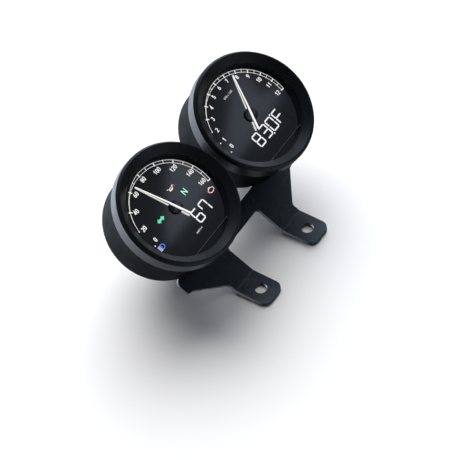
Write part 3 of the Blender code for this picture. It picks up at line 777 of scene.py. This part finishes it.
def print_words(gauge, node, name, look, words, height, x, y, squeeze):
    """Upright words centred on (x, y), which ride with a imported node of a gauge."""
    curve = bpy.data.curves.new("words", "FONT")
    curve.body = words
    curve.align_x = "CENTER"
    curve.align_y = "CENTER"
    curve.offset = TEXT_WEIGHT
    size = height / CAP_HEIGHT
    curve.extrude = (PRINT_TOP - PRINT_BOTTOM) / 2 / size
    middle = Matrix.Translation((x, y, (PRINT_TOP + PRINT_BOTTOM) / 2))
    bm = bmesh.new()
    add_curve(bm, curve, middle @ Matrix.Diagonal((size * squeeze, size, size, 1)))
    on_gauge(gauge, name, bm, look, node)


def segment_outlines():
    """The seven bars of one digit, with pointed ends, from the digit's lower left corner."""
    half = SEGMENT / 2
    left, right = half, DIGIT_WIDTH - half
    low, middle, high = half, DIGIT_HEIGHT / 2, DIGIT_HEIGHT - half

    def bar(start, end):
        a, b = start + SEGMENT_GAP, end - SEGMENT_GAP
        return [(a, 0), (a + half, half), (b - half, half), (b, 0), (b - half, -half), (a + half, -half)]

    def across(y):
        return [(along, y - aside) for along, aside in bar(left, right)]

    def upright(x, bottom, top):
        return [(x + aside, along) for along, aside in bar(bottom, top)]

    return {"a": across(high), "g": across(middle), "d": across(low),
            "f": upright(left, middle, high), "b": upright(right, middle, high),
            "e": upright(left, low, middle), "c": upright(right, low, middle)}


def digits(gauge, text, lefts, dots=()):
    """Seven-segment digits with their left edges at lefts, and round dots at (x, y, radius)."""
    bars = segment_outlines()
    outlines = [[(left + x, DIGIT_TOP - DIGIT_HEIGHT + y) for x, y in bars[bar]]
                for character, left in zip(text, lefts) for bar in SEGMENTS[character]]
    top = packed_box(f"{gauge}_display", DIAL[gauge])[1].z
    bm = bmesh.new()
    for outline in outlines + [circle(*dot, DOT_STEPS) for dot in dots]:
        prism(bm, outline, top - DIGIT_ROOT, top + DIGIT_RISE)
    on_gauge(gauge, "digits", bm, DIGIT_WHITE, "display")


def icon(name, x, y, outlines):
    """A lit symbol centred on (x, y). Each outline is an outer loop, then its holes."""
    bm = bmesh.new()
    for loops in outlines:
        outer, *holes = [[(px + x, py + y) for px, py in loop] for loop in loops]
        filled_plate(bm, outer, holes, PRINT_BOTTOM, PRINT_TOP)
    on_gauge("speedo", name, bm, LAMPS[name])


def turn_arrows():
    """A left and a right arrow, tail to tail."""
    half = [(0, 0.8), (1.3, 0.8), (1.3, 1.8), (3.5, 0), (1.3, -1.8), (1.3, -0.8), (0, -0.8)]
    return [[half + [(-x, -y) for x, y in half[1:-1]]]]


def ring_outline(corners, wall):
    """A closed outline and the same outline shrunk inwards, for a symbol drawn as a line."""
    loop = rounded(corners, 3)
    (left, right), (bottom, top) = [(min(values), max(values)) for values in zip(*loop)]
    x_middle, y_middle = (left + right) / 2, (bottom + top) / 2
    x_share, y_share = 1 - 2 * wall / (right - left), 1 - 2 * wall / (top - bottom)
    inner = [(x_middle + (x - x_middle) * x_share, y_middle + (y - y_middle) * y_share) for x, y in loop]
    return [loop, inner]


def headlight():
    """The round-backed lamp of the high beam symbol."""
    lower = [(-0.4, -1.9, 0.3), (0.9, -1.9, 1.2), (2.6, -1.0, 1.2)]
    upper = [(x, -y, radius) for x, y, radius in reversed(lower)]
    return [ring_outline(lower + upper, 0.55)]


def beam_rays():
    """The four level rays of the high beam symbol."""
    return [[box_outline(-2.7, -0.7, y - 0.25, y + 0.25)] for y in (-1.5, -0.5, 0.5, 1.5)]


def engine():
    """An engine: a stepped block with a fan stub on one side, and a neck on top."""
    corners = ((-1.7, -1.3), (-0.9, -1.9), (1.3, -1.9), (1.9, -1.2), (2.9, -1.2), (2.9, 1.0), (1.9, 1.0),
               (1.2, 1.6), (-1.0, 1.6), (-1.7, 0.9), (-2.4, 0.9), (-2.4, -0.7), (-1.7, -0.7))
    body = ring_outline([(x, y, 0.2) for x, y in corners], 0.5)
    return [body, [box_outline(-0.9, 0.9, 1.75, 2.1, 0.1)]]


def oil_can():
    """An oil can with a long spout, and its handle."""
    can = ring_outline([
        (-1.7, -1.2, 0.2), (1.2, -1.2, 0.2), (1.9, 0.1, 0.2), (3.0, 0.9, 0.1), (2.7, 1.3, 0.1),
        (1.2, 0.7, 0.2), (-1.7, 0.7, 0.2)], 0.65)
    return [can, [[(-1.9, 0.6), (-2.9, 1.1), (-2.7, 1.5), (-1.9, 1.1)]]]


def drops():
    """Oil inside the can, and a drop falling from its spout."""
    drop = rounded([(2.95, -0.65, 0.3), (3.85, -0.65, 0.3), (3.4, 0.45, 0)], 3)
    return [[box_outline(-0.9, 1.1, -0.75, 0.0, 0.2)], [drop]]


def needle(gauge):
    """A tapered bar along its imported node: level over the hub, then sloping to a pointed tip."""
    node = f"{gauge}_needle"
    points = cad_points(node, DIAL[gauge])
    tip = max(points, key=lambda p: p.xy.length).xy
    tail = min(points, key=lambda p: p.xy.dot(tip)).xy
    turn = Matrix.Rotation(-math.atan2(tip.x, tip.y), 4, "Z")
    low, high = packed_box(node, DIAL[gauge])
    drop = high.z - low.z - NEEDLE_THICK
    end, start = tip.length, tail.dot(tip.normalized())
    outline = rounded([
        (-NEEDLE_TAIL_HALF, start, 0.3), (NEEDLE_TAIL_HALF, start, 0.3),
        (NEEDLE_TIP_HALF, end - NEEDLE_POINT, 0), (0, end, 0), (-NEEDLE_TIP_HALF, end - NEEDLE_POINT, 0)], 3)
    bm = bmesh.new()
    prism(bm, outline, high.z - NEEDLE_THICK, high.z)
    cut_across(bm, NEEDLE_BEND)
    for vertex in bm.verts:
        vertex.co.z -= drop * max(0, vertex.co.y - NEEDLE_BEND) / (end - NEEDLE_BEND)
    bevel(stand_in(node, bm, DIAL[gauge] @ turn, NEEDLE_WHITE), 0.12)


def needle_hub(gauge):
    node = f"{gauge}_needle_hub"
    hub = Turned(node, DIAL[gauge])
    roof = hub.top - HUB_CAP
    keep_flat(turned(node, DIAL[gauge], [
        (0, hub.top, 0), (hub.outer, hub.top, 0.3), (hub.outer, hub.bottom, 0.1), (HUB_BORE_R, hub.bottom, 0),
        (HUB_BORE_R, roof, 0), (0, roof, 0)], HUB_BLACK, 3))


def cup_profile(flange, front):
    """The cup's wall as a closed (r, z) outline: flange, side, wide fillet and flat back."""
    inner, floor_z = CUP_R - CUP_WALL, CUP_BACK + CUP_WALL
    under = front - CUP_FLANGE_THICK
    return rounded([
        (inner, front, 0), (flange, front, 0.2), (flange, under, 0.2), (CUP_R, under, 0.2),
        (CUP_R, CUP_BACK, CUP_FILLET), (0, CUP_BACK, 0), (0, floor_z, 0),
        (inner, floor_z, CUP_FILLET - CUP_WALL)], FILLET_STEPS)


def stud_profile(end):
    """A threaded stud as a closed (r, z) outline, from its chamfered end to its plain root."""
    points = [(0, end), (STUD_R - 0.6, end)]
    z = end + 0.5
    while z < end + THREAD_LENGTH:
        points += [(STUD_R - THREAD_DEPTH, z), (STUD_R, z + THREAD_PITCH / 2)]
        z += THREAD_PITCH
    return [*points, (STUD_R, CUP_BACK + 1), (0, CUP_BACK + 1)]


def cup(gauge):
    """The cup, with its cable hole, its two button holes and its studs."""
    node = f"{gauge}_cup"
    size = Turned(node, DIAL[gauge])
    bm = bmesh.new()
    lathe(bm, cup_profile(size.outer, size.top), ROUND_STEPS)
    made = stand_in(node, bm, DIAL[gauge], CUP_BLACK)
    holes = bmesh.new()
    for x, y, radius in ((0, CABLE_Y, GROMMET_HOLE_R), (-BUTTON_X, BUTTON_Y, BUTTON_HOLE_R),
                         (BUTTON_X, BUTTON_Y, BUTTON_HOLE_R)):
        prism(holes, circle(x, y, radius), CUP_BACK - 1, CUP_BACK + CUP_WALL + 1)
    combine(made, holes, DIAL[gauge], "DIFFERENCE")
    studs = bmesh.new()
    for x in (-STUD_X, STUD_X):
        lathe(studs, stud_profile(size.bottom), centre=(x, 0))
    combine(made, studs, DIAL[gauge], "UNION")


def button(node, place):
    """A rubber button with a domed end, and a flange and a stem inside the cup."""
    size = Turned(node, place)
    stem = size.top - BUTTON_STEM
    flange = stem - BUTTON_FLANGE_THICK
    turned(node, place, [
        (0, size.bottom, 0), (BUTTON_R - 1.2, size.bottom + 0.05, 0.4), (BUTTON_R, size.bottom + 0.9, 0.7),
        (BUTTON_R, flange, 0), (size.outer, flange, 0.2), (size.outer, stem, 0.2), (BUTTON_STEM_R, stem, 0.2),
        (BUTTON_STEM_R, size.top, 0.3), (0, size.top, 0)], RUBBER_BLACK)


def cable_grommet(gauge):
    node = f"{gauge}_cable_grommet"
    place = beside(DIAL[gauge], 0, CABLE_Y)
    size = Turned(node, place)
    neck = GROMMET_HOLE_R - NECK_GAP
    outside, inside = CUP_BACK - GROOVE_GAP, CUP_BACK + CUP_WALL + GROOVE_GAP
    turned(node, place, [
        (size.inner, size.bottom, 0.2), (GROMMET_TAIL_R, size.bottom, 0.4), (size.outer, outside - 0.8, 0.4),
        (size.outer, outside, 0.15), (neck, outside, 0), (neck, inside, 0), (GROMMET_RIM_R, inside, 0.2),
        (GROMMET_RIM_R, size.top, 0.3), (size.inner, size.top, 0.2)], RUBBER_BLACK)


def cable(gauge):
    """The loom: straight out of the cup's back, round a bend and down to its plug."""
    node = f"{gauge}_cable"
    start = packed_box(node, DIAL[gauge])[1].z
    bend = arc(CABLE_Y - CABLE_BEND_R, CABLE_BEND_Z, CABLE_BEND_R, 0, -90, 24)
    path = [(CABLE_Y, start), *bend, (CABLE_END_Y, CABLE_BEND_Z - CABLE_BEND_R)]
    bm = bmesh.new()
    rings = []
    for i, (y, z) in enumerate(path):
        before, after = path[max(0, i - 1)], path[min(len(path) - 1, i + 1)]
        y_way, z_way = (Vector(after) - Vector(before)).normalized()
        rings.append([bm.verts.new((a, y - b * z_way, z + b * y_way)) for a, b in circle(0, 0, CABLE_R)])
    skin(bm, rings)
    stand_in(node, bm, DIAL[gauge], CABLE_BLACK)


def connector(gauge):
    """The loom's plug: a rounded block with a socket in its open end, a latch and grip ribs."""
    node = f"{gauge}_connector"
    turn = Matrix.Rotation(math.pi / 2, 4, "X")
    place = beside(DIAL[gauge], 0, CABLE_END_Y - 0.1, CABLE_BEND_Z - CABLE_BEND_R) @ turn
    low, high = packed_box(node, place)
    roof = high.y - LATCH_RISE
    bm = bmesh.new()
    block(bm, (low.x, high.x, low.y, roof), 1.2, low.z, high.z)
    made = stand_in(node, bm, place, PLASTIC_BLACK)
    socket = bmesh.new()
    walls = (low.x + PLUG_WALL, high.x - PLUG_WALL, low.y + PLUG_WALL, roof - PLUG_WALL)
    block(socket, walls, 0.8, high.z - SOCKET_DEPTH, high.z + 1)
    combine(made, socket, place, "DIFFERENCE")
    grips = bmesh.new()
    block(grips, (-LATCH_HALF_WIDTH, LATCH_HALF_WIDTH, roof - 0.5, high.y), 0.4, *LATCH_ENDS)
    for z in (2.0, 3.2, 4.4):
        for x in (-high.x, high.x):
            sides = (x - RIB_HALF_DEPTH, x + RIB_HALF_DEPTH, -RIB_HALF_HEIGHT, RIB_HALF_HEIGHT)
            block(grips, sides, 0.1, z, z + RIB_THICK)
    combine(made, grips, place, "UNION")
    bevel(made, 0.15)
    connector_pins(node, place, high.z)


def connector_pins(plug, place, mouth):
    """Six plated pins in a plug's socket."""
    bm = bmesh.new()
    for x in (-4, 0, 4):
        for y in (-1.6, 1.6):
            sides = (x - PIN_HALF, x + PIN_HALF, y - PIN_HALF, y + PIN_HALF)
            block(bm, sides, 0.1, mouth - SOCKET_DEPTH - 1, mouth - PIN_SINK)
    made = piece(f"{plug}_pins", bm, place, ZINC, plug)


def mount_grommet(node, place):
    """A rubber isolator with a groove for the bracket's plate."""
    size = Turned(node, place)
    neck = PLATE_HOLE_R - NECK_GAP
    above, below = PLATE_FRONT + GROOVE_GAP, PLATE_BACK - GROOVE_GAP
    turned(node, place, [
        (size.inner, size.top, 0.2), (size.outer, size.top, 0.5), (size.outer, above, 0.4), (neck, above, 0),
        (neck, below, 0), (size.outer, below, 0.4), (size.outer, size.bottom, 0.7),
        (size.inner, size.bottom, 0.2)], RUBBER_BLACK)


def mount_nut(node, place):
    """A flanged nut: a hexagon with chamfered corners on a sloped round flange."""
    size = Turned(node, place)
    low, high = size.bottom, size.top
    rim = high - NUT_FLANGE_RIM
    bm = bmesh.new()
    filled_plate(bm, circle(0, 0, NUT_CORNER_R, 6), [], low, rim)
    made = stand_in(node, bm, place, ZINC)
    chamfer = [(0, low - 1), (NUT_CORNER_R - 0.7, low - 1), (NUT_CORNER_R - 0.45, low),
               (NUT_CORNER_R + 0.5, low + 0.55), (NUT_CORNER_R + 0.5, high + 1), (0, high + 1)]
    flange = rounded([(0, high - NUT_FLANGE_THICK, 0), (NUT_FLANGE_TOP_R, high - NUT_FLANGE_THICK, 0),
                      (size.outer, rim, 0.2), (size.outer, high, 0.15), (0, high, 0)], 3)
    bore = [(0, low - 1), (NUT_MOUTH_R, low - 1), (NUT_MOUTH_R, low), (size.inner, low + 0.7),
            (size.inner, high + 1), (0, high + 1)]
    for profile, operation in ((chamfer, "INTERSECT"), (flange, "UNION"), (bore, "DIFFERENCE")):
        tool = bmesh.new()
        lathe(tool, profile)
        combine(made, tool, place, operation)


def gauge_pieces(gauge):
    bezel(gauge)
    turned_ring(gauge, "lens", CLEAR_GLASS, 0.2)
    turned_ring(gauge, "lens_gasket", RUBBER_BLACK, 0.1)
    turned_ring(gauge, "spacer_ring", WALL_BLACK, 0.1)
    face(gauge)
    display(gauge)
    needle(gauge)
    needle_hub(gauge)
    cup(gauge)
    button(f"{gauge}_mode_button", beside(DIAL[gauge], -BUTTON_X, BUTTON_Y))
    button(f"{gauge}_set_button", beside(DIAL[gauge], BUTTON_X, BUTTON_Y))
    cable_grommet(gauge)
    cable(gauge)
    connector(gauge)
    for side, x in (("left", -STUD_X), ("right", STUD_X)):
        mount_grommet(f"{gauge}_mount_grommet_{side}", beside(DIAL[gauge], x, 0))
        mount_nut(f"{gauge}_mount_nut_{side}", beside(DIAL[gauge], x, 0))
    for name, look in INNER_LOOKS.items():
        for node, obj in frame["nodes"].items():
            if node.startswith(f"{gauge}_{name}"):
                obj.data.materials.clear()
                obj.data.materials.append(look)


def lower_line(gauge):
    """A painted highlight: a fine grey strip along the straight cut of a face, below its display, standing in
    for light on the cut edge.
    """
    y = face_cut(gauge)
    half = math.sqrt(Turned(f"{gauge}_face", DIAL[gauge]).outer ** 2 - y ** 2)
    bm = bmesh.new()
    prism(bm, box_outline(-half, half, y, y + CUT_EDGE_HIGHLIGHT_WIDTH), PRINT_BOTTOM, PRINT_TOP)
    on_gauge(gauge, "lower_line", bm, PAINTED_EDGE_HIGHLIGHT)


def speedometer_print():
    labels = [str(speed) for speed in range(0, 161, 20)]
    scale("speedo", labels, 1)
    print_labels("speedo", labels, LABEL_LIMIT)
    print_words("speedo", "display", "unit", PRINT_GREY, "MPH", 1.3, -1.6, -21.6, 1.7)
    print_words("speedo", "face", "neutral_lamp", LAMPS["neutral_lamp"], "N", 4.4, 12.7, 1.7, 0.84)
    icon("turn_lamp", -14, 2.2, turn_arrows())
    icon("oil_lamp", 8, 10, oil_can())
    icon("oil_drops", 8, 10, drops())
    icon("beam_lamp", -28.6, -9.5, headlight())
    icon("beam_rays", -28.6, -9.5, beam_rays())
    icon("engine_lamp", 26.2, -10.8, engine())
    digits("speedo", "67", (2.9, 11.1))
    lower_line("speedo")


def tachometer_print():
    labels = [str(count) for count in range(13)]
    scale("tach", labels, 2)
    print_labels("tach", labels, SWEEP)
    print_words("tach", "face", "unit", PRINT_GREY, "RPM x 1000", 1.6, 0.3, 20, 0.84)
    digits("tach", "830F", (-13.6, -5.3, 2.1, 10.0), ((1.3, -20.2, 0.5), (9.3, -9.9, 0.55)))
    lower_line("tach")


# Bracket


def bracket_outline():
    pad = [(WEB_HALF_WIDTH, BAR_TOP, 5), (WEB_HALF_WIDTH, -PAD_HALF_HEIGHT, 4),
           (PAD_HALF_LENGTH, -PAD_HALF_HEIGHT, 7), (PAD_HALF_LENGTH, PAD_HALF_HEIGHT, 7)]
    right = [(GAUGE_X - x, y, radius) for x, y, radius in pad]
    right += [(GAUGE_X + x, y, radius) for x, y, radius in reversed(pad)]
    right += [(BAR_HALF_LENGTH, BAR_TOP, 5), (BAR_HALF_LENGTH, BAR_BOTTOM, 3),
              (LEG_TAPER_TOP_X, BAR_BOTTOM, 1), (LEG_OUTER_X, LEG_TAPER_END_Y, 4),
              (LEG_OUTER_X, FOOT_END_Y, 6), (LEG_INNER_X, FOOT_END_Y, 6), (LEG_INNER_X, BAR_BOTTOM, 3)]
    left = [(-x, y, radius) for x, y, radius in reversed(right)]
    return rounded(right + left, 8)


def folded(y, z):
    """Where a point of the flat pattern goes when the feet are folded up by the tilt."""
    beyond = FOLD_Y - y
    if beyond <= 0:
        return y, z
    turn = min(beyond / FOLD_MID_R, TILT)
    straight = beyond - turn * FOLD_MID_R
    radius = FOLD_CENTRE_Z - z
    return (FOLD_Y - radius * math.sin(turn) - straight * math.cos(turn),
            FOLD_CENTRE_Z - radius * math.cos(turn) + straight * math.sin(turn))


def bracket():
    foot_x = (LEG_INNER_X + LEG_OUTER_X) / 2
    studs = [axis + x for axis in (-GAUGE_X, GAUGE_X) for x in (-STUD_X, STUD_X)]
    holes = [circle(x, 0, PLATE_HOLE_R) for x in studs]
    holes += [circle(x, FOOT_END_Y + FOOT_LENGTH / 2, FOOT_HOLE_R) for x in (-foot_x, foot_x)]
    bm = bmesh.new()
    filled_plate(bm, bracket_outline(), holes, PLATE_BACK, PLATE_FRONT)
    for step in range(FOLD_STEPS + 1):
        cut_across(bm, FOLD_Y - FOLD_MID_R * TILT * step / FOLD_STEPS)
    for vertex in bm.verts:
        vertex.co.y, vertex.co.z = folded(vertex.co.y, vertex.co.z)
    bevel(stand_in("bracket", bm, CLUSTER, SHEET_BLACK), BRACKET_BEVEL, 3, 50)


# Stage


def floor():
    bm = bmesh.new()
    prism(bm, box_outline(-6000, 6000, -6000, 6000), -20, 0)
    made = solid("floor", bm, floor_look())
    made.visible_glossy = False


def sky():
    """A soft studio surround: dark, but for three patches of light."""
    world = bpy.data.worlds.new("studio")
    bpy.context.scene.world = world
    world.use_nodes = True
    tree = world.node_tree
    direction = tree.nodes.new("ShaderNodeTexCoord").outputs["Generated"]
    total = SKY_DARK
    for patch in (BEHIND_CUPS, RIDERS_RIGHT, LOW_IN_FRONT):
        total = math_node(tree, "ADD", total, sky_patch(tree, direction, *patch))
    fill(tree, tree.nodes["Background"], {"Color": (*SKY_COLOUR, 1), "Strength": total})


def sky_patch(tree, direction, side, start, strength):
    """Light that swells to its strength towards a side, from where the cosine to it is start."""
    towards = tree.nodes.new("ShaderNodeVectorMath")
    towards.operation = "DOT_PRODUCT"
    fill(tree, towards, {0: direction, 1: Vector(side).normalized()})
    swell = towards.outputs["Value"]
    for operation, value in (("SUBTRACT", start), ("MAXIMUM", 0), ("DIVIDE", 1 - start),
                             ("POWER", SKY_CURVE), ("MULTIPLY", strength)):
        swell = math_node(tree, operation, swell, value)
    return swell


def softbox(gauge, corners, strength):
    """A glowing card that is seen only in a dial, as a patch with these corners."""
    eye = DIAL[gauge].inverted() @ CLUSTER @ CAMERA_EYE
    bm = bmesh.new()
    card = []
    for x, y in corners:
        spot = Vector((x * MM, y * MM, 0))
        ray = (spot - eye).normalized()
        ray.z = -ray.z
        card.append(bm.verts.new((spot + ray * CARD_DISTANCE) / MM))
    bm.faces.new(card)
    look = Look("softbox", (0, 0, 0), 1.0, specular=0).glow(CARD_COLOUR, strength)
    made = solid(f"{gauge}_softbox", bm, look.material)
    made.matrix_world = DIAL[gauge]
    made.visible_camera = False
    made.visible_diffuse = False
    made.visible_shadow = False


def sun():
    """One broad soft lamp from high in front, which makes the floor pale."""
    light = bpy.data.lights.new("sun", "SUN")
    light.energy = SUN_ENERGY
    light.color = SUN_COLOUR
    light.angle = SUN_SPREAD
    made = link("sun", light)
    made.rotation_euler = SUN_FROM.to_track_quat("Z", "Y").to_euler()
    made.visible_glossy = False


def camera():
    data = bpy.data.cameras.new("camera")
    data.lens = CAMERA_LENS
    data.sensor_width = 36
    data.clip_end = 20
    made = link("camera", data)
    back = (CAMERA_EYE - CAMERA_AIM).normalized()
    right = CAMERA_UP.cross(back).normalized()
    axes = Matrix((right, back.cross(right), back)).transposed().to_4x4()
    made.matrix_world = CLUSTER @ Matrix.Translation(CAMERA_EYE) @ axes
    bpy.context.scene.camera = made


for gauge_name in GAUGES:
    gauge_pieces(gauge_name)
speedometer_print()
tachometer_print()
bracket()
floor()
sky()
softbox("speedo", [(-25, -10), (15, 18), (36, 27), (36, -8), (4, -12), (-25, -12)], 0.38)
softbox("tach", [(-34, -2), (6, 21), (24, 27), (17, 3), (36, -4), (20, -9), (-34, -12)], 0.34)
sun()
camera()
bpy.context.scene.view_settings.view_transform = "Standard"
